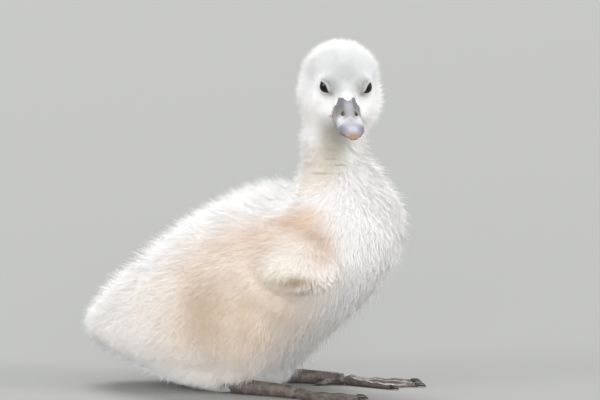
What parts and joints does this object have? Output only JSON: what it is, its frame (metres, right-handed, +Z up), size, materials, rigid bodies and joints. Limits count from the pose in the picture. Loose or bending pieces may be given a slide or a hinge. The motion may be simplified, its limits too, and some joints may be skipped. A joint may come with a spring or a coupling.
{
  "type": "mute swan cygnet figure",
  "caption": "Life-size still figure of a young mute swan in down, sitting with its head turned to its right and its bill tilted down.",
  "frame": {"origin": "middle of the figure's bounding box, on the floor it sits on", "axes": "+X along the body's heading, from tail to breast; +Y to the bird's left; +Z up"},
  "size_m": [0.1764, 0.1068, 0.1812],
  "materials": {
    "white_down": "soft matt white down",
    "buff_down": "soft matt pinkish buff down",
    "bill_horn": "satin lavender-grey bill skin",
    "nail_horn": "smooth pinkish horn",
    "eye": "wet gloss, dark brown iris and black pupil",
    "leg_skin": "matt scaled grey skin",
    "claw_horn": "satin dark horn"
  },
  "bodies": {
    "root": {"head": "white_down", "neck": "white_down", "trunk": "buff_down", "tail": "buff_down", "bill_upper": "bill_horn", "bill_nail": "nail_horn", "bill_lower": "bill_horn", "eye_left": "eye", "eye_right": "eye", "wing_left": "buff_down", "wing_right": "buff_down", "thigh_left": "buff_down", "thigh_right": "buff_down", "shank_left": "leg_skin", "shank_right": "leg_skin", "foot_left": "leg_skin", "foot_right": "leg_skin", "hind_toe_left": "leg_skin", "hind_toe_right": "leg_skin", "claw_left_inner": "claw_horn", "claw_left_middle": "claw_horn", "claw_left_outer": "claw_horn", "claw_left_hind": "claw_horn", "claw_right_inner": "claw_horn", "claw_right_middle": "claw_horn", "claw_right_outer": "claw_horn", "claw_right_hind": "claw_horn"}
  },
  "joints": []
}
